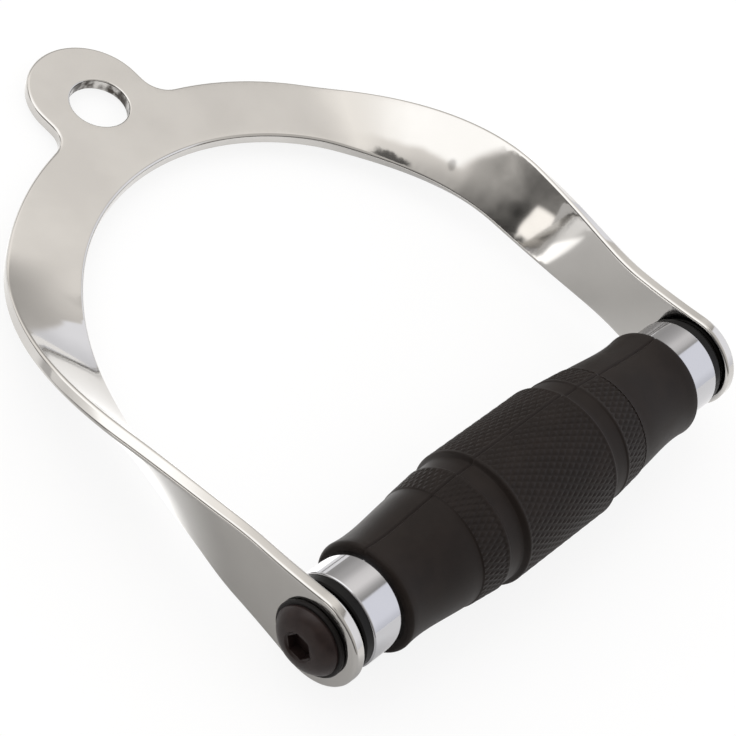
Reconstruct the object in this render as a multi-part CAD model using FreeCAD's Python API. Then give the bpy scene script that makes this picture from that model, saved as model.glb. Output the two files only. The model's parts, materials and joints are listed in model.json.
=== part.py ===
"""Single D-handle: a chromed steel bow with an eye at its crown and a rubber grip that turns on an axle.

The pieces are drawn with the axle along X, the eye towards +Y and the bow's upper face towards +Z.
They are then laid on the ground, where the grip and the eye's lower edge touch Z = 0. Lengths are in mm.
"""
import FreeCAD
import Part
import math
import os
from FreeCAD import Vector

# Bow: a flat steel strip, cut as an arch with an eye, whose legs each turn a quarter about their middle line
ear_spread = 150.0          # over the outer faces of the two ears
plate_thickness = 3.5
strip_width = 19.6
arch_height = 63.0          # from the grip axis to the centre of the arch
ring_drop = 6.0             # the flat arch lies this far below the grip axis
leg_rise = 0.8              # the leg's middle line stands this far above the grip axis where the arch ends
twist_start = 52.0          # from the crown, along the middle line
twist_end_height = 21.0     # above the grip axis, where the leg has come square to it
twist_ease_share = 0.1      # of the twisted length, at each end, over which the twist gathers and fades
twist_sections = 13         # cross-sections that carry each twisted stretch
ear_section_shares = (0.8, 0.6, 0.4, 0.25, 0.12, 0.05, 0.0)   # of that height, for the sections below it
edge_round = 0.9            # on every long edge of the strip
edge_round_limit_share = 0.45
ear_flare = 3.6             # the ear stands out past the strip by this at each side
neck_height = 40.0          # above the grip axis, where the leg starts to widen into its ear

# Eye for a snap hook
eye_width = 33.2
eye_reach = 7.5             # from the arch's outer edge to the centre of the eye's round end
eye_bore = 16.0
eye_bore_reach = 3.5        # from the arch's outer edge to the centre of the bore
eye_root_radius = 7.0
eye_bore_round = 0.5

# Screws with domed heads, and their washers
thread_diameter = 10.0
screw_engagement = 20.0     # of thread in the axle
screw_tip_chamfer = 1.0
screw_hole_clearance = 0.2  # around the thread, in the ear and the washer
screw_head_overhang = 4.2   # past the thread
screw_head_height = 3.6
screw_head_rim = 0.6        # height of the straight wall under the dome
screw_dome_bulge = 0.75     # of the dome outside a straight cone
screw_head_land = 0.1       # flat ring around the socket
socket_flats = 6.4
socket_depth = 3.2
socket_chamfer = 0.4
screw_washer_width = 5.0    # from its hole to its rim
screw_washer_thickness = 1.2
screw_washer_chamfer = 0.3

# Axle, with a tapped hole in each end
axle_wall = 3.0             # around the tapped holes
tapped_depth = 24.0
axle_chamfer = 0.6

# Plastic bearings at each end of the grip: a bush that turns with it and a thrust washer that doesn't
bush_running_clearance = 0.05
bush_wall = 2.65
bush_sleeve_length = 16.0
bush_lead_chamfer = 0.8
bush_flange_inset = 0.4     # below the tube's surface
bush_flange_thickness = 2.6
bush_flange_chamfer = 0.4
end_play = 0.15             # between each flange and its thrust washer
thrust_washer_clearance = 0.1
thrust_washer_width = 3.1   # from its hole to its rim
thrust_washer_thickness = 1.25
thrust_washer_chamfer = 0.2

# Chromed tube
tube_wall = 2.0
tube_end_round = 0.5
tube_bare_end = 10.5        # left bare by the rubber at each end

# Rubber sleeve, from its middle outwards: wide knurled middle, smooth groove, knurled band, hollow flank
centre_length = 36.4
centre_wall = 5.6           # of rubber over the tube, as are the next six walls
groove_wall = 4.25
band_inner_wall = 4.5
band_outer_wall = 3.6
swell_wall = 2.5
waist_wall = 1.8
rubber_end_wall = 2.1
centre_chamfer = 1.1
groove_width = 5.4
band_width = 9.0
band_step = 0.3             # down from the band to the flank
swell_share = 0.34          # of the flank's length, from the band
waist_share = 0.7           # of the flank's length, from the band
rubber_end_round = 1.2

# Sizes that follow
over_cut = 1.0
half_plate = plate_thickness / 2
half_strip = strip_width / 2
long_edge_round = min(edge_round, edge_round_limit_share * plate_thickness)
long_edge_inset = long_edge_round * (1 - math.sqrt(0.5))
ear_outer = ear_spread / 2
ear_inner = ear_outer - plate_thickness
ear_radius = half_strip + ear_flare
neck_radius = (neck_height ** 2 / ear_flare - (ear_radius + half_strip)) / 2
strip_radius = ear_outer - half_plate
arch_outer = strip_radius + half_strip
arch_inner = strip_radius - half_strip
arch_length = strip_radius * math.pi / 2
strip_length = arch_length + arch_height
twist_end = strip_length - twist_end_height
eye_radius = eye_width / 2
eye_height = arch_height + arch_outer + eye_reach
eye_bore_height = arch_height + arch_outer + eye_bore_reach
thread_radius = thread_diameter / 2
screw_hole_radius = thread_radius + screw_hole_clearance
screw_seat = ear_outer + screw_washer_thickness
socket_radius = socket_flats / 2 / math.cos(math.pi / 6)
axle_radius = thread_radius + axle_wall
thrust_washer_bore_radius = axle_radius + thrust_washer_clearance
bush_bore_radius = axle_radius + bush_running_clearance
tube_bore_radius = bush_bore_radius + bush_wall
tube_radius = tube_bore_radius + tube_wall
tube_end = ear_inner - thrust_washer_thickness - end_play - bush_flange_thickness
grip_radius = tube_radius + centre_wall
same_place = eye_bore_round / 50   # points nearer than this are one point

X_AXIS = Vector(1, 0, 0)
Z_AXIS = Vector(0, 0, 1)
ORIGIN = Vector(0, 0, 0)


def smooth(share):
    """Rises from 0 to 1 with level ends."""
    share = min(max(share, 0), 1)
    return share * share * (3 - 2 * share)


def eased(share):
    """Rises from 0 to 1 at a steady rate between short gentle ends."""
    share = min(max(share, 0), 1)
    steady = 1 - twist_ease_share
    if share < twist_ease_share:
        return share ** 2 / (2 * twist_ease_share) / steady
    if share > steady:
        return 1 - (1 - share) ** 2 / (2 * twist_ease_share) / steady
    return (share - twist_ease_share / 2) / steady


def mirrored(solid):
    """The same piece at the other end of the handle."""
    return solid.mirror(ORIGIN, X_AXIS)


def line_chain(corners):
    """Straight edges through corners (along the grip axis, radius)."""
    points = [Vector(along, radius, 0) for along, radius in corners]
    return [Part.makeLine(first, last) for first, last in zip(points, points[1:])]


def revolved(edges):
    """Solid of revolution about the grip axis from a closed outline."""
    return Part.Face(Part.Wire(Part.__sortEdges__(edges))).revolve(ORIGIN, X_AXIS, 360)


def turned(corners):
    """Solid of revolution about the grip axis from the corners of its outline."""
    return revolved(line_chain(corners + corners[:1]))


def quarter_round(end, radius, round_radius, side=1):
    """Rounded rim on the grip axis, whose flat face is at the end and whose wall has the radius."""
    inset = round_radius * (1 - math.sqrt(0.5))
    wall_end = Vector(end - side * round_radius, radius, 0)
    middle = Vector(end - side * inset, radius - inset, 0)
    return Part.Arc(wall_end, middle, Vector(end, radius - round_radius, 0)).toShape()


def rounded_long_edges(blank, through, cuts):
    """Rounds the edges of a flat blank's two faces, but not those on the cuts where the legs go on."""

    def lies_on(edge, point, normal):
        return all(abs((vertex.Point - point).dot(normal)) < same_place for vertex in edge.Vertexes)

    in_faces = [edge for edge in blank.Edges if lies_on(edge, edge.firstVertex().Point, through)]
    long_edges = [edge for edge in in_faces if not any(lies_on(edge, *cut) for cut in cuts)]
    return blank.makeFillet(long_edge_round, long_edges)


def polar(centre, radius, turn):
    """Point about a centre in the plane of the arch, with the turn counted from +Y towards +X."""
    return centre + Vector(math.sin(turn), math.cos(turn), 0) * radius


def arc_about(centre, radius, first_turn, last_turn):
    """Arc in the plane of the arch."""
    turns = (first_turn, (first_turn + last_turn) / 2, last_turn)
    return Part.Arc(*[polar(centre, radius, turn) for turn in turns]).toShape()


def run_at_cut(side):
    """Direction of the middle line where the arch ends and a leg starts to twist."""
    cut_turn = twist_start / strip_radius
    return Vector(math.cos(cut_turn), -side * math.sin(cut_turn), 0)


def arch_blank():
    """Flat part of the bow, between the two twists, with the eye at its crown."""
    under = -ring_drop - half_plate
    centre = Vector(0, arch_height, under)
    cut_turn = twist_start / strip_radius
    root_reach = arch_outer + eye_root_radius
    root_turn = math.asin((eye_radius + eye_root_radius) / root_reach)
    edges = [arc_about(centre, arch_inner, -cut_turn, cut_turn),
             arc_about(Vector(0, eye_height, under), eye_radius, -math.pi / 2, math.pi / 2)]
    for side in (1, -1):
        root = polar(centre, root_reach, side * root_turn)
        inner_corner = polar(centre, arch_inner, side * cut_turn)
        outer_corner = polar(centre, arch_outer, side * cut_turn)
        waist = Vector(side * eye_radius, root.y, under)
        shoulder = Vector(side * eye_radius, eye_height, under)
        edges.append(Part.makeLine(inner_corner, outer_corner))
        edges.append(arc_about(centre, arch_outer, side * cut_turn, side * root_turn))
        edges.append(arc_about(root, eye_root_radius, side * (math.pi + root_turn), side * 3 * math.pi / 2))
        edges.append(Part.makeLine(waist, shoulder))
    blank = Part.Face(Part.Wire(Part.__sortEdges__(edges))).extrude(Z_AXIS * plate_thickness)
    cuts = [(centre, run_at_cut(side)) for side in (1, -1)]
    blank = rounded_long_edges(blank, Z_AXIS, cuts)
    bore_foot = Vector(0, eye_bore_height, under - over_cut)
    blank = blank.cut(Part.makeCylinder(eye_bore / 2, plate_thickness + 2 * over_cut, bore_foot, Z_AXIS))
    rims = [edge for edge in blank.Edges if isinstance(edge.Curve, Part.Circle)
            and (edge.Curve.Center - bore_foot).cross(Z_AXIS).Length < same_place]
    return blank.makeFillet(eye_bore_round, rims)


def strip_frame(along):
    """Middle point, width direction and thickness direction of the right leg, by distance from the crown."""
    if along <= arch_length:
        turn = along / strip_radius
        outward = Vector(math.sin(turn), math.cos(turn), 0)
        middle = Vector(0, arch_height, 0) + outward * strip_radius
    else:
        outward = X_AXIS
        middle = Vector(strip_radius, strip_length - along, 0)
    climb = (ring_drop + leg_rise) * smooth((along - twist_start) / (arch_length - twist_start))
    settle = leg_rise * smooth((along - arch_length) / (twist_end - arch_length))
    middle = middle + Z_AXIS * (climb - settle - ring_drop)
    twist = math.pi / 2 * eased((along - twist_start) / (twist_end - twist_start))
    wide = outward * math.cos(twist) + Z_AXIS * math.sin(twist)
    thick = Z_AXIS * math.cos(twist) - outward * math.sin(twist)
    return middle, wide, thick


def leg_half_width(height):
    """Half the leg's width at a height above the grip axis: straight, then hollowed, then round."""
    touch = neck_height * ear_radius / (ear_radius + neck_radius)
    if height >= neck_height:
        return half_strip
    if height >= touch:
        return half_strip + neck_radius - math.sqrt(neck_radius ** 2 - (neck_height - height) ** 2)
    return math.sqrt(ear_radius ** 2 - height ** 2)


def strip_section(along):
    """Cross-section of the right leg, with its four corners rounded."""
    middle, wide, thick = strip_frame(along)
    half_width = leg_half_width(strip_length - along)

    def at(across, through):
        return middle + wide * across + thick * through

    corners = []
    for side, face in ((1, 1), (-1, 1), (-1, -1), (1, -1)):
        corner = [at(side * half_width, face * (half_plate - long_edge_round)),
                  at(side * (half_width - long_edge_inset), face * (half_plate - long_edge_inset)),
                  at(side * (half_width - long_edge_round), face * half_plate)]
        corners.append(corner if side == face else corner[::-1])
    edges = []
    for corner, following in zip(corners, corners[1:] + corners[:1]):
        edges.append(Part.Arc(*corner).toShape())
        edges.append(Part.makeLine(corner[-1], following[0]))
    return Part.Wire(edges)


def leg():
    """Right leg, from the flat arch through its quarter turn and down to the middle of its ear."""
    step = (twist_end - twist_start) / (twist_sections - 1)
    places = [twist_start + number * step for number in range(twist_sections)]
    places += [strip_length - share * twist_end_height for share in ear_section_shares]
    return Part.makeLoft([strip_section(along) for along in places], True, False)


def ear_foot():
    """Lower half of the right ear, below the screw."""
    rim = [quarter_round(ear_inner, ear_radius, long_edge_round, side=-1),
           quarter_round(ear_outer, ear_radius, long_edge_round)]
    wall = line_chain([(ear_inner + long_edge_round, ear_radius), (ear_outer - long_edge_round, ear_radius)])
    sides = line_chain([(ear_outer, ear_radius - long_edge_round), (ear_outer, 0), (ear_inner, 0),
                        (ear_inner, ear_radius - long_edge_round)])
    section = Part.Face(Part.Wire(Part.__sortEdges__(rim + wall + sides)))
    return section.rotated(ORIGIN, X_AXIS, 90).revolve(ORIGIN, X_AXIS, 180)


def bow():
    """Arch, two twisted legs and two round ears, as one piece of steel."""
    halves = [leg(), ear_foot()]
    steel = arch_blank().fuse(halves + [mirrored(half) for half in halves])
    hole = Part.makeCylinder(screw_hole_radius, plate_thickness + 2 * over_cut,
                             X_AXIS * (ear_inner - over_cut), X_AXIS)
    return steel.cut([hole, mirrored(hole)]).Solids[0]


def axle():
    """Steel rod between the ears, tapped at both ends."""
    right = [(ear_inner - axle_chamfer, axle_radius), (ear_inner, axle_radius - axle_chamfer),
             (ear_inner, 0)]
    rod = turned([(-along, radius) for along, radius in reversed(right)] + right)
    hole_end = X_AXIS * (ear_inner - tapped_depth)
    hole = Part.makeCylinder(thread_radius, tapped_depth + over_cut, hole_end, X_AXIS)
    return rod.cut([hole, mirrored(hole)])


def screw():
    """Screw of the right ear, with a domed head and a hexagon socket."""
    shoulder = screw_seat + screw_head_rim
    top = screw_seat + screw_head_height
    tip = ear_inner - screw_engagement
    head_radius = thread_radius + screw_head_overhang
    land_radius = socket_radius + socket_chamfer + screw_head_land
    dome_foot = Vector(shoulder, head_radius, 0)
    slope = Vector(top - shoulder, land_radius - head_radius, 0)
    bulge = Vector(-slope.y, slope.x, 0).normalize() * screw_dome_bulge
    dome = Part.Arc(dome_foot, dome_foot + slope / 2 + bulge, dome_foot + slope).toShape()
    straight = line_chain([(top, land_radius), (top, 0), (tip, 0), (tip, thread_radius - screw_tip_chamfer),
                           (tip + screw_tip_chamfer, thread_radius), (screw_seat, thread_radius),
                           (screw_seat, head_radius), (shoulder, head_radius)])
    corners = [Vector(top + over_cut, socket_radius * math.cos(turn), socket_radius * math.sin(turn))
               for turn in (math.pi / 3 * number for number in range(7))]
    socket = Part.Face(Part.makePolygon(corners)).extrude(X_AXIS * -(socket_depth + over_cut))
    mouth = Part.makeCone(socket_radius, socket_radius + socket_chamfer, socket_chamfer,
                          X_AXIS * (top - socket_chamfer), X_AXIS)
    return revolved([dome] + straight).cut(socket).cut(mouth)


def washer(start, thickness, bore_radius, width, chamfer):
    """Flat washer on the grip axis, from its inner face outwards, with chamfered rims."""
    end = start + thickness
    radius = bore_radius + width
    return turned([(start, bore_radius), (start, radius - chamfer), (start + chamfer, radius),
                   (end - chamfer, radius), (end, radius - chamfer), (end, bore_radius)])


def screw_washer():
    """Dark washer between the right ear and its screw's head."""
    return washer(ear_outer, screw_washer_thickness, screw_hole_radius,
                  screw_washer_width, screw_washer_chamfer)


def thrust_washer():
    """Plastic washer against the right ear's inner face."""
    return washer(ear_inner - thrust_washer_thickness, thrust_washer_thickness, thrust_washer_bore_radius,
                  thrust_washer_width, thrust_washer_chamfer)


def bush():
    """Flanged bush pressed into the right end of the tube."""
    sleeve_end = tube_end - bush_sleeve_length
    flange_face = tube_end + bush_flange_thickness
    flange_radius = tube_radius - bush_flange_inset
    return turned([(sleeve_end, bush_bore_radius), (sleeve_end, tube_bore_radius - bush_lead_chamfer),
                   (sleeve_end + bush_lead_chamfer, tube_bore_radius), (tube_end, tube_bore_radius),
                   (tube_end, flange_radius), (flange_face - bush_flange_chamfer, flange_radius),
                   (flange_face, flange_radius - bush_flange_chamfer), (flange_face, bush_bore_radius)])


def grip_tube():
    """Chromed tube that carries the rubber, drawn from its middle to its right end and mirrored."""
    half = line_chain([(0, tube_radius), (tube_end - tube_end_round, tube_radius)])
    half.append(quarter_round(tube_end, tube_radius, tube_end_round))
    half += line_chain([(tube_end, tube_radius - tube_end_round), (tube_end, tube_bore_radius),
                        (0, tube_bore_radius)])
    return revolved(half + [mirrored(edge) for edge in half])


def rubber_grip():
    """Moulded sleeve, drawn from its middle to its right end and mirrored."""
    centre_end = centre_length / 2
    groove_end = centre_end + groove_width
    band_end = groove_end + band_width
    rubber_end = tube_end - tube_bare_end
    flank = rubber_end - band_end
    groove_radius = tube_radius + groove_wall
    band_outer_radius = tube_radius + band_outer_wall
    end_radius = tube_radius + rubber_end_wall
    flank_curve = Part.BSplineCurve()
    flank_curve.interpolate([Vector(band_end, band_outer_radius - band_step, 0),
                             Vector(band_end + flank * swell_share, tube_radius + swell_wall, 0),
                             Vector(band_end + flank * waist_share, tube_radius + waist_wall, 0),
                             Vector(rubber_end - rubber_end_round, end_radius, 0)])
    half = line_chain([(0, grip_radius), (centre_end - centre_chamfer, grip_radius),
                       (centre_end, groove_radius), (groove_end, groove_radius),
                       (groove_end, tube_radius + band_inner_wall), (band_end, band_outer_radius),
                       (band_end, band_outer_radius - band_step)])
    half += [flank_curve.toShape(), quarter_round(rubber_end, end_radius, rubber_end_round)]
    half += line_chain([(rubber_end, end_radius - rubber_end_round), (rubber_end, tube_radius),
                        (0, tube_radius)])
    return revolved(half + [mirrored(edge) for edge in half])


def lean_angle():
    """Turn about the grip axis that brings the eye's lower edge level with the underside of the grip."""
    reach = eye_height + eye_radius - long_edge_round
    depth = ring_drop + half_plate - long_edge_round
    return math.asin((grip_radius - long_edge_round) / math.hypot(reach, depth)) - math.atan2(depth, reach)


pieces = {"bow": bow(), "axle": axle(), "grip_tube": grip_tube(), "rubber_grip": rubber_grip()}
for name, solid in (("screw", screw()), ("screw_washer", screw_washer()),
                    ("bush", bush()), ("thrust_washer", thrust_washer())):
    pieces["right_" + name] = solid
    pieces["left_" + name] = mirrored(solid)

lean = math.degrees(lean_angle())
pieces = {name: solid.rotated(ORIGIN, X_AXIS, -lean) for name, solid in pieces.items()}
box = Part.makeCompound(list(pieces.values())).optimalBoundingBox(False, False)
shift = Vector(0, -(box.YMin + box.YMax) / 2, grip_radius)

os.makedirs("parts", exist_ok=True)
for name, solid in pieces.items():
    solid.translated(shift).exportStep("parts/" + name + ".step")
    print(name, "valid", solid.isValid(), "solids", len(solid.Solids), "volume", round(solid.Volume, 1))
print("lean", round(lean, 4), "grip axis at y", round(shift.y, 4), "z", round(shift.z, 4))
print("box", round(box.XLength, 2), round(box.YLength, 2), round(box.ZLength, 2))
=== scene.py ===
import json
import math

import bpy
import numpy as np
from mathutils import Matrix, Vector
from mathutils.geometry import delaunay_2d_cdt


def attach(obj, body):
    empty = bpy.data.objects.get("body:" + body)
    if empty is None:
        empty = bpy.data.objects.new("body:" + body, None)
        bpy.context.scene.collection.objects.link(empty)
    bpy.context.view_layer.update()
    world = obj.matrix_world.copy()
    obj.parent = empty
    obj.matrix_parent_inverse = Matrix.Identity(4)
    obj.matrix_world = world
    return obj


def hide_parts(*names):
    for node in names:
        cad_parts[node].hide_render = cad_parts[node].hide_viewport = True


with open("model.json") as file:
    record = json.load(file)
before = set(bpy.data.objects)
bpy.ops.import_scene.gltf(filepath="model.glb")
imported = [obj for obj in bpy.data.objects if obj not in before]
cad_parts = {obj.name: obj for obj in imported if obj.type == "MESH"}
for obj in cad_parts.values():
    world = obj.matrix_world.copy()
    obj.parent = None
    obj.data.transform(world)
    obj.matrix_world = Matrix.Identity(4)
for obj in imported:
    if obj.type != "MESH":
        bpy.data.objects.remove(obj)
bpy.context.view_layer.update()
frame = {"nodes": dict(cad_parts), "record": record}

# The bow. A D-shaped blank with a round eye is cut from 3.5 mm steel plate and its edges are rounded. Each
# leg is gripped and given a quarter turn, so its ear stands on edge. The bow is polished and chrome plated.
mm = 0.001
ear_spread = 150 * mm
plate_thickness = 3.5 * mm
strip_width = 19.6 * mm
arch_height = 63 * mm
ring_drop = 6 * mm
leg_rise = 0.8 * mm
twist_start = 52 * mm
twist_end_height = 21 * mm
twist_ease_share = 0.1
edge_round = 0.9 * mm
ear_radius = 13.4 * mm
neck_height = 40 * mm
screw_hole_radius = 5.2 * mm
screw_hole_round = 0.2 * mm
eye_radius = 16.6 * mm
eye_height = 153.55 * mm
eye_bore_height = 149.55 * mm
eye_bore_radius = 8 * mm
eye_bore_round = 0.5 * mm
eye_root_radius = 7 * mm
bow_lean = math.radians(3.5783)
grip_axis = Vector(frame["record"]["behaviour"]["joints"][0]["pos_m"])
outline_step = 1 * mm
least_arc_steps = 8
rim_rows = 7
lattice_step = 1.3 * mm
lattice_columns = 12
lattice_clearance_share = 0.6
merge_distance = 1e-7
leave_holes_open = 2

half_plate = plate_thickness / 2
half_strip = strip_width / 2
strip_radius = ear_spread / 2 - half_plate
arch_centre = (0, arch_height)
arch_length = strip_radius * math.pi / 2
strip_length = arch_length + arch_height
twist_end = strip_length - twist_end_height


def smooth(share):
    """Rises from 0 to 1 with no slope at either end."""
    share = np.clip(share, 0, 1)
    return share * share * (3 - 2 * share)


def eased(share, ease=twist_ease_share):
    """Rises from 0 to 1 in a straight line with a short ease at either end."""
    share = np.clip(share, 0, 1)
    slope = 1 / (1 - ease)
    start = slope * share * share / (2 * ease)
    end = 1 - slope * (1 - share) ** 2 / (2 * ease)
    return np.where(share < ease, start, np.where(share > 1 - ease, end, slope * (share - ease / 2)))


def in_place(points):
    """Turns points about the grip's axis by the bow's lean and moves them from that axis to where it lies."""
    return points @ np.array(Matrix.Rotation(bow_lean, 3, "X")) + np.array(grip_axis)


def formed(points):
    """Bends points (x, y, height over the plate's middle) of the flat blank to where the twist takes them."""
    side = np.where(points[:, 0] < 0, -1.0, 1.0)
    x = np.abs(points[:, 0])
    above = points[:, 1] - arch_height
    angle = np.where(above > 0, np.arctan2(x, above), math.pi / 2)
    along = strip_radius * angle + np.maximum(-above, 0)
    across = np.where(above > 0, np.hypot(x, above), x) - strip_radius
    outward = np.column_stack((np.sin(angle), np.cos(angle), 0 * angle))
    middle = outward * strip_radius + np.column_stack((0 * x, arch_height + np.minimum(above, 0), 0 * x))
    climb = (along - twist_start) / (arch_length - twist_start)
    settle = (along - arch_length) / (twist_end - arch_length)
    middle[:, 2] = (ring_drop + leg_rise) * smooth(climb) - leg_rise * smooth(settle) - ring_drop
    twist = (math.pi / 2 * eased((along - twist_start) / (twist_end - twist_start)))[:, None]
    up = np.array((0, 0, 1))
    wide = outward * np.cos(twist) + up * np.sin(twist)
    thick = up * np.cos(twist) - outward * np.sin(twist)
    bent = middle + wide * across[:, None] + thick * points[:, 2:]
    bent[:, 0] *= side
    return in_place(bent)


def arc(centre, radius, start, end):
    """Points along an arc from one angle to another in degrees, both ends included."""
    count = max(least_arc_steps, round(abs(math.radians(end - start)) * radius / outline_step))
    angles = np.radians(np.linspace(start, end, count + 1))
    return np.array(centre) + radius * np.column_stack((np.cos(angles), np.sin(angles)))


def leg_edge(side):
    """Points down the inner (-1) or outer (1) edge of the right leg, and the angle where its ear begins."""
    neck_radius = (neck_height ** 2 + half_strip ** 2 - ear_radius ** 2) / (2 * (ear_radius - half_strip))
    touch = neck_height * ear_radius / (neck_radius + ear_radius)
    heights = np.arange(arch_height - outline_step, touch, -outline_step)
    below_neck = np.maximum(neck_height - heights, 0)
    half_width = half_strip + neck_radius - np.sqrt(neck_radius ** 2 - below_neck ** 2)
    ear_start = math.degrees(math.asin(touch / ear_radius))
    return np.column_stack((strip_radius + side * half_width, heights)), ear_start


def bow_outline():
    """Points around the flat blank, counter-clockwise, from the crown of its hand gap."""
    root = Vector((eye_radius + eye_root_radius, 0))
    outer = strip_radius + half_strip
    root.y = arch_height + math.sqrt((outer + eye_root_radius) ** 2 - root.x ** 2)
    root_angle = math.degrees(math.atan2(root.y - arch_height, root.x))
    inner_edge, ear_start = leg_edge(-1)
    outer_edge, _ = leg_edge(1)
    half = np.vstack((
        arc(arch_centre, strip_radius - half_strip, 90, 0),
        inner_edge,
        arc((strip_radius, 0), ear_radius, 180 - ear_start, 360 + ear_start),
        outer_edge[::-1],
        arc(arch_centre, outer, 0, root_angle),
        arc(root, eye_root_radius, 180 + root_angle, 180)[1:],
        arc((0, eye_height), eye_radius, 0, 90),
    ))
    return np.vstack((half, half[-2:0:-1] * (-1, 1)))


def cut_wall(loop, rounding, start):
    """Points and faces of the wall along a closed outline, rounded above and below, numbered from a start."""
    tangent = np.roll(loop, -1, axis=0) - np.roll(loop, 1, axis=0)
    outward = np.column_stack((tangent[:, 1], -tangent[:, 0])) / np.linalg.norm(tangent, axis=1)[:, None]
    turns = np.radians(np.linspace(0, 90, rim_rows))
    upper_rows = [
        (rounding * (1 - math.sin(turn)), half_plate - rounding * (1 - math.cos(turn))) for turn in turns
    ]
    rows = upper_rows + [(inset, -height) for inset, height in reversed(upper_rows)]
    count = len(loop)
    points = [np.column_stack((loop - outward * inset, np.full(count, height))) for inset, height in rows]
    faces = []
    for row in range(len(rows) - 1):
        upper = start + row * count
        for i in range(count):
            j = (i + 1) % count
            faces.append((upper + count + i, upper + count + j, upper + j, upper + i))
    return points, faces


def plate(loops, roundings, inside):
    """Points and faces of a flat plate: walls along its outline and holes, and two faces with a lattice."""
    points, faces, rims = [], [], []
    upper_corners, lower_corners = [], []
    start = 0
    for loop, rounding in zip(loops, roundings):
        rows, wall = cut_wall(loop, rounding, start)
        points += rows
        faces += wall
        rims.append(rows[0][:, :2])
        upper_corners += range(start, start + len(loop))
        start += len(rows) * len(loop)
        lower_corners += range(start - len(loop), start)
    rim = np.vstack(rims)
    clearance = lattice_clearance_share * lattice_step
    lattice = np.array([spot for spot in inside if np.min(np.hypot(*(rim - spot).T)) > clearance])
    flat = [Vector(spot) for spot in (*rim, *lattice)]
    ends = np.cumsum([len(loop) for loop in loops])
    rings = [list(range(end - len(loop), end)) for loop, end in zip(loops, ends)]
    _, _, triangles, sources, _, _ = delaunay_2d_cdt(flat, [], rings, leave_holes_open, merge_distance)
    for level, corners, order in ((half_plate, upper_corners, 1), (-half_plate, lower_corners, -1)):
        corners += range(start, start + len(lattice))
        points.append(np.column_stack((lattice, np.full(len(lattice), level))))
        start += len(lattice)
        faces += [tuple(corners[sources[k][0]] for k in triangle[::order]) for triangle in triangles]
    return np.vstack(points), faces


def strip_lattice():
    """Points spread over the strip and its ears in staggered rows across it."""
    spots = []
    for row, along in enumerate(np.arange(0, strip_length + ear_radius, lattice_step)):
        angle = min(along, arch_length) / strip_radius
        below = max(along - arch_length, 0)
        reach = half_strip if along < strip_length - neck_height else ear_radius
        stagger = row % 2 / 2
        for column in range(-lattice_columns, lattice_columns + 1):
            radius = strip_radius + (column + stagger) * strip_width / lattice_columns
            if abs(radius - strip_radius) < reach:
                spot = (math.sin(angle) * radius, arch_height + math.cos(angle) * radius - below)
                spots += [spot, (-spot[0], spot[1])] if along else [spot]
    return np.array(spots)


def within(spots, loop):
    """Says for each spot whether it lies within a closed loop of points."""
    x, y = spots.T[:, :, None]
    x1, y1 = loop.T
    x2, y2 = np.roll(loop, -1, axis=0).T
    with np.errstate(divide="ignore", invalid="ignore"):
        crossed = ((y1 > y) != (y2 > y)) & (x < (x2 - x1) * (y - y1) / (y2 - y1) + x1)
    return crossed.sum(axis=1) % 2 == 1


outline = bow_outline()
eye_bore = arc((0, eye_bore_height), eye_bore_radius, 360, 0)[:-1]
screw_holes = [arc((side * strip_radius, 0), screw_hole_radius, 360, 0)[:-1] for side in (-1, 1)]
loops = [outline, eye_bore, *screw_holes]
roundings = [edge_round, eye_bore_round, screw_hole_round, screw_hole_round]
spots = strip_lattice()
on_steel = within(spots, outline)
for hole in loops[1:]:
    on_steel &= ~within(spots, hole)
blank, blank_faces = plate(loops, roundings, spots[on_steel])


def new_piece(name, points, faces, material, sharp_from=math.radians(40)):
    """Makes a smooth-shaded mesh whose broad faces keep their own direction up to the edges."""
    mesh = bpy.data.meshes.new(name)
    mesh.from_pydata([tuple(point) for point in points], [], faces)
    mesh.shade_smooth()
    mesh.set_sharp_from_angle(angle=sharp_from)
    mesh.materials.append(material)
    made = bpy.data.objects.new(name, mesh)
    bpy.context.collection.objects.link(made)
    made.modifiers.new("broad_faces_lead", "WEIGHTED_NORMAL").keep_sharp = True
    return made


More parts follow.
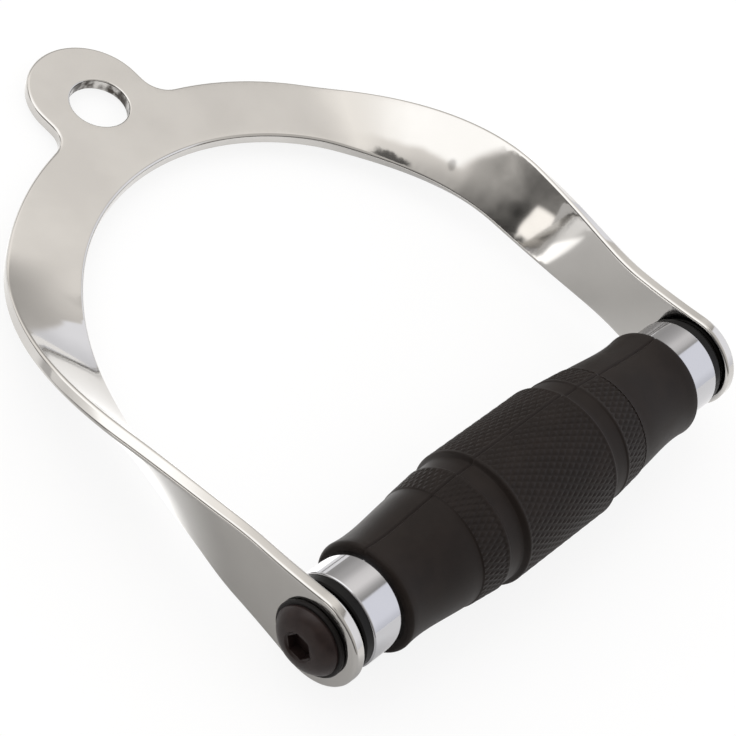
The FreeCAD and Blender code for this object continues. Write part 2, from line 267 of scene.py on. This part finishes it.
class Signal:
    """A socket in a material's nodes. Sums and products of signals add Math nodes."""

    def __init__(self, tree, socket=None):
        self.tree = tree
        self.socket = socket

    def node(self, kind, settings=None, sockets=None, output=0):
        """Adds a node, sets it up, then sets or links its sockets. Returns the signal of one output.

        A ramp's stops are pairs of a place and a grey level.
        """
        made = self.tree.nodes.new("ShaderNode" + kind)
        for name, value in (settings or {}).items():
            if name == "stops":
                ramp = made.color_ramp.elements
                ramp[0].position, ramp[1].position = value[0][0], value[-1][0]
                for place, _ in value[1:-1]:
                    ramp.new(place)
                for element, (_, level) in zip(ramp, value):
                    element.color = (level, level, level, 1)
            else:
                setattr(made, name, value)
        for name, value in (sockets or {}).items():
            if isinstance(value, Signal):
                self.tree.links.new(value.socket, made.inputs[name])
            else:
                made.inputs[name].default_value = value
        return Signal(self.tree, made.outputs[output]) if made.outputs else None

    def maths(self, operation, *values):
        """One Math node on signals or numbers."""
        return self.node("Math", {"operation": operation}, dict(enumerate(values)))

    def __add__(self, other):
        return self.maths("ADD", self, other)

    def __sub__(self, other):
        return self.maths("SUBTRACT", self, other)

    def __rsub__(self, other):
        return self.maths("SUBTRACT", other, self)

    def __mul__(self, other):
        return self.maths("MULTIPLY", self, other)

    def __truediv__(self, other):
        return self.maths("DIVIDE", self, other)

    def __rtruediv__(self, other):
        return self.maths("DIVIDE", other, self)

    __radd__ = __add__
    __rmul__ = __mul__

    def between(self, low, high):
        """Rises smoothly from 0 at the low value to 1 at the high one."""
        return self.node("MapRange", {"interpolation_type": "SMOOTHSTEP"}, {0: self, 1: low, 2: high})

    def spread(self, at_zero, at_one):
        """Runs evenly from one value where the signal is 0 to another where it is 1."""
        return self * (at_one - at_zero) + at_zero

    def place(self):
        """Where a point lies on its piece, in metres."""
        return self.node("TexCoord", output="Object")

    def distance(self, point):
        """How far a point of the surface lies from one point, in metres."""
        return self.node("VectorMath", {"operation": "DISTANCE"}, {0: self.place(), 1: tuple(point)}, 1)

    def noise(self, size, detail=2.0, stretch=(1, 1, 1)):
        """Noise from 0 to 1 whose lumps are about one size, in metres, times the stretch along each axis."""
        scales = tuple(1 / (size * factor) for factor in stretch)
        scaled = self.node("VectorMath", {"operation": "MULTIPLY"}, {0: self.place(), 1: scales})
        return self.node("TexNoise", {}, {"Vector": scaled, "Scale": 1.0, "Detail": detail})

    def mix(self, share, first, second):
        """A colour between two others."""
        return self.node("Mix", {"data_type": "RGBA"}, {0: share, 6: first, 7: second}, 2)

    def bump(self, height, depth, normal=None):
        """Pushes the surface in and out by a height of 0 to 1 times a depth in metres."""
        sockets = {"Height": height, "Distance": depth, "Strength": 1.0}
        return self.node("Bump", {}, sockets | ({"Normal": normal} if normal else {}))


def linear(red, green, blue):
    """A colour written in the screen's values from 0 to 255."""
    return tuple(((c / 255 + 0.055) / 1.055) ** 2.4 for c in (red, green, blue)) + (1.0,)


def new_finish(name):
    """A material with no nodes yet, and the signal that its nodes start from."""
    material = bpy.data.materials.new(name)
    material.use_nodes = True
    material.node_tree.nodes.clear()
    return material, Signal(material.node_tree)


def finished(paint, sockets):
    """Ends a material in one shader."""
    paint.node("OutputMaterial", {}, {"Surface": paint.node("BsdfPrincipled", {}, sockets)})


clear_plating = linear(179, 177, 174)
hazy_plating = linear(173, 171, 168)
rubbed_steel = linear(62, 58, 54)
haze_in_colour = (0.35, 0.7)
haze_in_roughness = (0.3, 0.75)
plating_roughness = (0.05, 0.1)
rubbed_roughness = 0.2
rub_edges = (eye_bore_radius + 0.15 * mm, eye_bore_radius + 0.4 * mm)
rub_patches = (0.35, 0.6)
bow_chrome, paint = new_finish("bow_chrome")
haze = paint.noise(size=22 * mm, detail=3.0)
ripple = paint.bump(paint.noise(size=34 * mm, detail=1.0), depth=0.1 * mm)
grain = paint.bump(paint.noise(size=0.5 * mm), depth=0.0006 * mm, normal=ripple)
bore_middle = in_place(np.array([(0, eye_bore_height, -ring_drop)]))[0]
rubbed = 1 - paint.distance(bore_middle).between(*rub_edges)
rubbed = rubbed * paint.noise(size=3.5 * mm, detail=3.0).between(*rub_patches)
plating = paint.mix(haze.between(*haze_in_colour), clear_plating, hazy_plating)
finished(paint, {
    "Base Color": paint.mix(rubbed, plating, rubbed_steel),
    "Metallic": 1.0,
    "Roughness": haze.between(*haze_in_roughness).spread(*plating_roughness) + rubbed * rubbed_roughness,
    "Normal": grain,
})
bow = new_piece("chromed_bow", formed(blank), blank_faces, bow_chrome)
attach(bow, "bow_frame")
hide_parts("bow")

# The axle. A drawn steel rod between the ears, turned to length and tapped at both ends. The grip and the
# ears hide it, so it keeps the grey finish that the lathe leaves, with fine rings around it.
dull_steel = linear(150, 152, 155)
bright_steel = linear(172, 173, 174)
turned_roughness = (0.25, 0.45)
axle_steel, paint = new_finish("axle_steel")
turning = paint.noise(size=0.4 * mm, stretch=(1, 40, 40))
finished(paint, {
    "Base Color": paint.mix(paint.noise(size=9 * mm), dull_steel, bright_steel),
    "Metallic": 1.0,
    "Roughness": turning.spread(*turned_roughness),
    "Normal": paint.bump(turning, depth=0.004 * mm),
})


def refinish(node, material):
    """Gives a node of the frame its finish."""
    slots = frame["nodes"][node].material_slots
    for slot in slots:
        slot.material = material
    if not slots:
        frame["nodes"][node].data.materials.append(material)


refinish("axle", axle_steel)

# The screws, the washers and the bushes. The screws are domed socket screws in a brownish black oxide, on
# washers of blackened spring steel. The washers against the ears' inner faces and the bushes pressed into
# the tube are turned from black nylon.
oxide_dark = linear(33, 24, 23)
oxide_brown = linear(40, 30, 28)
oxide_in_colour = (0.3, 0.7)
oxide_roughness = (0.3, 0.42)
screw_black, paint = new_finish("screw_black")
oxide = paint.noise(size=3 * mm, detail=4.0)
finished(paint, {
    "Base Color": paint.mix(oxide.between(*oxide_in_colour), oxide_dark, oxide_brown),
    "Metallic": 0.2,
    "Roughness": oxide.spread(*oxide_roughness),
    "Specular IOR Level": 0.25,
    "Normal": paint.bump(paint.noise(size=0.35 * mm, detail=3.0), depth=0.008 * mm),
})
spring_dark = linear(16, 14, 14)
spring_pale = linear(24, 21, 20)
spring_roughness = (0.3, 0.55)
washer_black, paint = new_finish("washer_black")
finished(paint, {
    "Base Color": paint.mix(paint.noise(size=2 * mm), spring_dark, spring_pale),
    "Metallic": 0.2,
    "Specular IOR Level": 0.2,
    "Roughness": paint.noise(size=1 * mm).spread(*spring_roughness),
    "Normal": paint.bump(paint.noise(size=0.5 * mm, detail=3.0), depth=0.008 * mm),
})
nylon_dark = linear(10, 9, 9)
nylon_pale = linear(16, 15, 14)
nylon_roughness = (0.35, 0.55)
nylon_black, paint = new_finish("nylon_black")
finished(paint, {
    "Base Color": paint.mix(paint.noise(size=5 * mm), nylon_dark, nylon_pale),
    "Roughness": paint.noise(size=2 * mm).spread(*nylon_roughness),
    "Specular IOR Level": 0.12,
    "Normal": paint.bump(paint.noise(size=0.6 * mm, stretch=(1, 8, 8)), depth=0.01 * mm),
})
for end in ("left", "right"):
    refinish(end + "_screw", screw_black)
    refinish(end + "_screw_washer", washer_black)
    refinish(end + "_thrust_washer", nylon_black)
    refinish(end + "_bush", nylon_black)

# The grip tube. 25.4 mm steel tube, with its rims turned round and its outside polished on the lathe and
# chromed. It runs through the rubber, so only its two bare ends are seen.
tube_radius = 12.7 * mm
tube_wall = 2 * mm
tube_end = 67.5 * mm
tube_end_round = 0.5 * mm
tube_sides = 256
corner_steps = 8


def corner(x, radius, rounding, first, last):
    """Points (x, radius) around a rounded corner whose circle lies about x and radius, angles in degrees."""
    angles = np.radians(np.linspace(first, last, corner_steps + 1))
    return [(x + rounding * math.cos(angle), radius + rounding * math.sin(angle)) for angle in angles]


def turned(profile, sides):
    """Points and faces of a ring turned about the grip's axis from a closed line of points (x, radius)."""
    angles = np.arange(sides) * math.tau / sides
    circle = np.column_stack((np.cos(angles), np.sin(angles)))
    points = np.vstack([np.column_stack((np.full(sides, x), radius * circle)) for x, radius in profile])
    faces = []
    for row in range(len(profile)):
        here, ahead = row * sides, (row + 1) % len(profile) * sides
        for i in range(sides):
            j = (i + 1) % sides
            faces.append((here + i, here + j, ahead + j, ahead + i))
    return points + np.array(grip_axis), faces


rim_start = tube_end - tube_end_round
right_end = corner(rim_start, tube_radius - tube_end_round, tube_end_round, 90, 0)
right_end += corner(rim_start, tube_radius - tube_wall + tube_end_round, tube_end_round, 0, -90)
tube_profile = [(-x, radius) for x, radius in reversed(right_end)] + right_end
clear_tube = linear(171, 171, 173)
cloudy_tube = linear(166, 166, 169)
tube_roughness = (0.05, 0.1)
tube_chrome, paint = new_finish("tube_chrome")
polish = paint.noise(size=0.25 * mm, detail=3.0, stretch=(1, 60, 60))
cloud = paint.noise(size=14 * mm)
finished(paint, {
    "Base Color": paint.mix(cloud, clear_tube, cloudy_tube),
    "Metallic": 1.0,
    "Roughness": cloud.spread(*tube_roughness),
    "Normal": paint.bump(polish, depth=0.0008 * mm),
})
tube = new_piece("chromed_tube", *turned(tube_profile, tube_sides), tube_chrome)
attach(tube, "grip")
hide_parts("grip_tube")

# The rubber sleeve. Black rubber moulded on the tube in a two-part tool: a raised middle and two bands with a
# diamond knurl, smooth grooves between them, smooth swelling ends, and a parting line along its upper side.
centre_end = 18.2 * mm
centre_radius = 18.3 * mm
centre_chamfer = 1.1 * mm
groove_radius = 16.95 * mm
band_start = 23.6 * mm
band_end = 32.6 * mm
band_inner_radius = 17.2 * mm
band_outer_radius = 16.3 * mm
band_shoulder = 0.6 * mm
flank_knots = (
    (32.6 * mm, 16.0 * mm), (40.9 * mm, 15.2 * mm), (49.7 * mm, 14.5 * mm), (55.8 * mm, 14.8 * mm),
)
rubber_end = 57.0 * mm
rubber_end_round = 1.2 * mm
knurl_around = 58
knurl_helix = math.radians(30)
knurl_depth = 0.3 * mm
knurl_margin = 0.5 * mm
knurl_groove_share = 0.3
knurl_samples = 8
parting_angle = math.radians(64)
parting_width = 0.45 * mm
parting_depth = 0.4 * mm
parting_land = 0.45 * mm
parting_fade = 0.9 * mm
shoulder_steps = 6
flank_step = 1.8 * mm

knurl_pitch_round = math.tau * centre_radius / knurl_around
knurl_pitch_along = knurl_pitch_round / math.tan(knurl_helix)
knurl_step = knurl_pitch_along / knurl_samples
rubber_sides = knurl_around * knurl_samples
centre_edge = centre_end - centre_chamfer
band_slope = (band_outer_radius - band_inner_radius) / (band_end - band_start)
end_round_start = rubber_end - rubber_end_round
flank_curve = np.polyfit(*np.array(flank_knots).T, 3)


def flank(x):
    """Radius of the smooth end at a distance from the middle: a cubic through its knots."""
    return np.polyval(flank_curve, x)


def stations(start, end, step):
    """Places from a start to an end, both included, about one step apart."""
    return list(np.linspace(start, end, max(1, round((end - start) / step)) + 1))


def shoulder(start, first, end, last):
    """Points of a soft step from one radius to another, without its first."""
    points = []
    for step in range(1, shoulder_steps + 1):
        share = step / shoulder_steps
        points.append((start + share * (end - start), first + float(smooth(share)) * (last - first)))
    return points


half_rubber = [(x, centre_radius) for x in stations(0, centre_edge, knurl_step)]
half_rubber += shoulder(centre_edge, centre_radius, centre_end, groove_radius)
half_rubber += [(x, groove_radius) for x in stations(centre_end, band_start - band_shoulder, flank_step)[1:]]
half_rubber += shoulder(band_start - band_shoulder, groove_radius, band_start, band_inner_radius)
half_rubber += [
    (x, band_inner_radius + band_slope * (x - band_start))
    for x in stations(band_start, band_end - band_shoulder, knurl_step)[1:]
]
half_rubber += shoulder(*half_rubber[-1], band_end, flank(band_end))
half_rubber += [(x, flank(x)) for x in stations(band_end, end_round_start, flank_step)[1:]]
half_rubber += corner(end_round_start, half_rubber[-1][1] - rubber_end_round, rubber_end_round, 90, 0)[1:]
half_rubber += [(rubber_end, tube_radius)]
rubber_profile = [(-x, radius) for x, radius in half_rubber[:0:-1]] + half_rubber


def knurl(x, angle):
    """Depth of the knurl's grooves below its diamonds, from 0 on a diamond to 1 in a groove."""
    u = angle * knurl_around / math.tau + x / knurl_pitch_along
    v = angle * knurl_around / math.tau - x / knurl_pitch_along
    from_groove = np.minimum(np.abs(u - np.round(u)), np.abs(v - np.round(v)))
    return np.clip(1 - from_groove / knurl_groove_share, 0, 1)


def knurled(x):
    """Whether the knurl is cut at a distance from the middle."""
    on_centre = abs(x) < centre_edge - knurl_margin
    on_band = band_start + knurl_margin < abs(x) < band_end - knurl_margin
    return on_centre or on_band


rubber_points, rubber_faces = turned(rubber_profile, rubber_sides)
angles = np.arange(rubber_sides) * math.tau / rubber_sides
rubber_points = rubber_points.reshape(len(rubber_profile), rubber_sides, 3) - np.array(grip_axis)
for row, (x, radius) in enumerate(rubber_profile):
    from_parting = np.abs((angles - parting_angle + math.pi / 2) % math.pi - math.pi / 2) * radius
    cut = knurled(x) * knurl_depth * knurl(x, angles) * smooth((from_parting - parting_land) / parting_fade)
    outside = radius > tube_radius
    cut = np.maximum(cut, outside * parting_depth * np.clip(1 - from_parting / parting_width, 0, 1))
    rubber_points[row, :, 1:] *= (1 - cut / radius)[:, None]
rubber_points = rubber_points.reshape(-1, 3) + np.array(grip_axis)
rubber_black = linear(23, 17, 14)
rubber_dusty = linear(30, 24, 21)
dust_in_colour = (0.3, 0.75)
rubber_roughness = (0.45, 0.6)
grip_rubber, paint = new_finish("grip_rubber")
dust = paint.noise(size=6 * mm, detail=4.0)
finished(paint, {
    "Base Color": paint.mix(dust.between(*dust_in_colour), rubber_black, rubber_dusty),
    "Roughness": dust.spread(*rubber_roughness),
    "Specular IOR Level": 0.12,
    "Normal": paint.bump(paint.noise(size=0.5 * mm, detail=3.0), depth=0.02 * mm),
})
rubber = new_piece("rubber_sleeve", rubber_points, rubber_faces, grip_rubber)
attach(rubber, "grip")
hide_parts("rubber_grip")

# The ground. A wide sheet of matt white paper, white to the eye, which keeps a soft shadow. In the chrome it
# shows painted light: a painted pool of light within the bow, brightest in one painted patch, dimmer before
# the grip, grey on the left where the painted pool ends, and darker near the right leg by a painted shade.
ground_size = 30.0
ground_drop = 0.1 * mm
paper_white = (0.88, 0.88, 0.88, 1)
seen_glow_share = 0.85
mirrored_glow_share = 0.2
pool_left_fade = (-102 * mm, -76 * mm)
pool_left_slant = 0.4
pool_front_fade = (-90 * mm, -60 * mm)
pool_light = (2.6, 3.4)
shade_middle = (40 * mm, -20 * mm, 0)
shade_fade = (30 * mm, 55 * mm)
shade_least_share = 0.2
patch_left = (-76 * mm, -66 * mm)
patch_right = (6 * mm, 14 * mm)
patch_front = (-50 * mm, -42 * mm)
patch_back = (-12 * mm, -4 * mm)
patch_light = 7.0
white_ground_with_painted_light, paint = new_finish("white_ground_with_painted_light")
seen = paint.node("LightPath", output="Is Camera Ray")
glossy = paint.node("LightPath", output="Is Glossy Ray")
mirrored = paint.maths("MAXIMUM", glossy, paint.node("LightPath", output="Is Transmission Ray"))
x, y = (paint.node("SeparateXYZ", {}, {0: paint.place()}, axis) for axis in range(2))
# Painted light, seen only in the chrome: a painted shade darkens the ground about a point inside the bow near
# the right leg.
painted_shade = paint.distance(shade_middle).between(*shade_fade).spread(shade_least_share, 1)
# A painted pool of light, which ends on the left and is dimmer before the grip.
painted_pool = (x + y * pool_left_slant).between(*pool_left_fade) * painted_shade
painted_pool = painted_pool * y.between(*pool_front_fade).spread(*pool_light)
# A painted patch of light, the brightest part of the ground in the chrome.
painted_patch = x.between(*patch_left) * (1 - x.between(*patch_right)) * y.between(*patch_front)
painted_patch = painted_patch * (1 - y.between(*patch_back))
# White to the eye. In the chrome the glow carries the painted pool and patch of light.
white_and_painted_light = seen + mirrored * (painted_pool + painted_patch * patch_light)
glow = paint.node("Emission", {}, {"Color": white_and_painted_light, "Strength": 1.0})
matt = paint.node("BsdfDiffuse", {}, {"Color": paper_white})
glow_share = seen * seen_glow_share + mirrored * mirrored_glow_share
sheet = paint.node("MixShader", {}, {0: glow_share, 1: matt, 2: glow})
paint.node("OutputMaterial", {}, {"Surface": sheet})
half_ground = ground_size / 2
ground_corners = [
    (x * half_ground, y * half_ground, -ground_drop) for x, y in ((-1, -1), (1, -1), (1, 1), (-1, 1))
]
mesh = bpy.data.meshes.new("ground")
mesh.from_pydata(ground_corners, [], [(0, 1, 2, 3)])
mesh.materials.append(white_ground_with_painted_light)
ground = bpy.data.objects.new("ground", mesh)
bpy.context.collection.objects.link(ground)

# The room, which is the only light. Its walls are grey and dim on the left, behind the camera. A wide
# softbox hangs over the handle, a cool white screen stands low on the right, and a bright window reaches the
# floor on the left. The chrome shows them all, with a few dark things between them.
# Left and right fades are in degrees of sweep, from overhead to the right. The other fades are parts of the
# direction.
wall_light = (
    (-90, 0.42), (-80, 0.3), (-72, 0.25), (-65, 0.45), (-55, 0.68), (-45, 0.78), (-40, 0.88), (-35, 1.3),
    (-28, 1.46), (10, 1.5), (26, 1.75), (36, 1.52), (45, 1.3), (55, 1.15), (65, 0.98), (75, 0.88), (90, 0.9),
)
front_wall_fade = (-0.05, 0.22)
front_wall_share = 0.6
far_corner_back_fade = (0.35, 0.6)
far_corner_right_fade = (36, 50)
far_corner_share = 0.7
softbox_light = 2.35
softbox_edge = (0.702, 0.638, 0.316)
softbox_edge_fade = (-0.04, 0.04)
softbox_slant = 0.002
softbox_front_fade = (0.19, 0.26)
softbox_right_fade = (-12, 30)
softbox_back_fade = (0.8, 0.9)
softbox_left_fade = (-56, -46)
softbox_left_share = 0.5
screen_top = ((28, -0.4), (36, -0.23), (42, 0.0), (48, 0.13), (56, 0.16), (66, 0.3), (90, 0.4))
screen_top_fade = (-0.02, 0.02)
screen_near_fade = (0.3, 0.45)
screen_light = (1.25, 1.55)
screen_foot_fade = (0.0, 0.35)
behind_screen_top_fade = (0.0, 0.3)
behind_screen_left_fade = (28, 34)
behind_screen_right_fade = (42, 52)
behind_screen_share = 0.6
window_light = 2.2
window_right_fade = (-79.5, -77.5)
window_front_fade = (0.0, 0.06)
window_back_fade = (0.31, 0.36)
dark_left = ((-0.95, 0.08, 0.3), 3, 15)
dark_left_share = 0.25
clutter_right_fade = (-52, -38)
clutter_strength = 0.9
smear_sweep = 4
smear_back = 0.085
smear_slant = 0.005
smear_sweep_reach = 10
smear_back_reach = 0.04
smear_ragging = 0.06
smear_fade = (0.7, 2.2)
smear_share = 0.15
blot = ((-0.34, 0.2, 0.92), 1, 4.5)
blot_share = 0.55
wobble_depth = 0.1
warm_grey = (1.03, 1.0, 0.965, 1)
white = (1, 1, 1, 1)
cool_white = (0.98, 0.99, 1.05, 1)
world = bpy.data.worlds.new("room")
world.use_nodes = True
world.node_tree.nodes.clear()
paint = Signal(world.node_tree)


def room_noise(direction, scale, detail=3.0, output=0):
    """Noise from 0 to 1 over the directions of the room, or its colours at output 1."""
    return paint.node("TexNoise", {}, {"Vector": direction, "Scale": scale, "Detail": detail}, output)


direction = paint.node("TexCoord", output="Generated")
wobble = room_noise(direction, scale=3.0, detail=2.0, output=1)
wobble = paint.node("VectorMath", {"operation": "SCALE"}, {0: wobble, "Scale": wobble_depth})
direction = paint.node("VectorMath", {"operation": "ADD"}, {0: direction, 1: wobble})
direction = paint.node("VectorMath", {"operation": "SUBTRACT"}, {0: direction, 1: (wobble_depth / 2,) * 3})
rightward, backward, upward = (paint.node("SeparateXYZ", {}, {0: direction}, axis) for axis in range(3))
sweep = paint.maths("ARCTAN2", rightward, upward) * math.degrees(1)


def stepped(signal, stops):
    """Follows a signal through stops (value, outcome) in straight runs."""
    first, last = stops[0][0], stops[-1][0]
    span = last - first
    least, most = (pick(outcome for _, outcome in stops) for pick in (min, max))
    places = [((value - first) / span, (outcome - least) / (most - least)) for value, outcome in stops]
    ramp = paint.node("ValToRGB", {"stops": places}, {0: (signal - first) / span})
    return ramp.spread(least, most)


def toward(axis):
    """How far the direction points along an axis."""
    axis = Vector(axis).normalized()
    return paint.node("VectorMath", {"operation": "DOT_PRODUCT"}, {0: direction, 1: axis}, 1)


def spot(axis, inner, outer):
    """A soft round spot in the room, 1 at its middle, with its inner and outer radius in degrees."""
    return toward(axis).between(math.cos(math.radians(outer)), math.cos(math.radians(inner)))


def lit(tone, card, light):
    """Puts a card with its own light in front of what lies behind it."""
    return tone + card * (light - tone)


front_wall = 1 - backward.between(*front_wall_fade)
far_corner = backward.between(*far_corner_back_fade) * sweep.between(*far_corner_right_fade)
softbox = toward(softbox_edge).between(*softbox_edge_fade)
softbox = softbox * (backward - sweep * softbox_slant).between(*softbox_front_fade)
softbox = softbox * (1 - sweep.between(*softbox_right_fade)) * (1 - backward.between(*softbox_back_fade))
softbox = softbox * sweep.between(*softbox_left_fade).spread(softbox_left_share, 1)
over_screen = backward - stepped(sweep, screen_top)
screen = (1 - over_screen.between(*screen_top_fade)) * rightward.between(*screen_near_fade)
behind_screen = (1 - over_screen.between(*behind_screen_top_fade)) * sweep.between(*behind_screen_left_fade)
behind_screen = behind_screen * (1 - sweep.between(*behind_screen_right_fade))
window = (1 - sweep.between(*window_right_fade)) * backward.between(*window_front_fade)
window = window * (1 - backward.between(*window_back_fade))
clutter = (room_noise(direction, scale=7.0) - 0.5) * (1 - sweep.between(*clutter_right_fade))
clutter = clutter * clutter_strength
ragged = (room_noise(direction, scale=40.0) - 0.5) * smear_ragging
off_smear = backward - (sweep - smear_sweep) * smear_slant - smear_back + ragged
smear = paint.maths("POWER", (sweep - smear_sweep) / smear_sweep_reach, 2.0)
smear = smear + paint.maths("POWER", off_smear / smear_back_reach, 2.0)

tone = stepped(sweep, wall_light) * front_wall.spread(1, front_wall_share)
tone = tone * far_corner.spread(1, far_corner_share)
tone = tone * spot(*dark_left).spread(1, dark_left_share) * (1 + clutter)
tone = lit(tone, softbox, softbox_light) * behind_screen.spread(1, behind_screen_share)
tone = lit(tone, screen, upward.between(*screen_foot_fade).spread(*screen_light))
tone = lit(tone, window, window_light)
tone = tone * smear.between(*smear_fade).spread(smear_share, 1) * spot(*blot).spread(1, blot_share)
tint = paint.mix(screen, paint.mix(softbox, warm_grey, white), cool_white)
paint.node("OutputWorld", {}, {"Surface": paint.node("Background", {}, {"Color": tint, "Strength": tone})})
bpy.context.scene.world = world

# The camera stands above the handle's left end and is rolled about its line of sight, as the photograph's is.
camera_place = Vector((-0.441494, -0.178791, 0.542680))
camera_aim = Vector((0.000756, -0.027058, 0.007925))
camera_roll = math.radians(31.728)
camera = bpy.data.objects.new("camera", bpy.data.cameras.new("camera"))
camera.data.lens = 138.43
camera.data.sensor_width = 36
camera.data.clip_start = 0.01
facing = (camera_aim - camera_place).to_track_quat("-Z", "Y").to_matrix().to_4x4()
camera.matrix_world = Matrix.Translation(camera_place) @ facing @ Matrix.Rotation(camera_roll, 4, "Z")
bpy.context.collection.objects.link(camera)
bpy.context.scene.camera = camera
bpy.context.scene.view_settings.view_transform = "Standard"
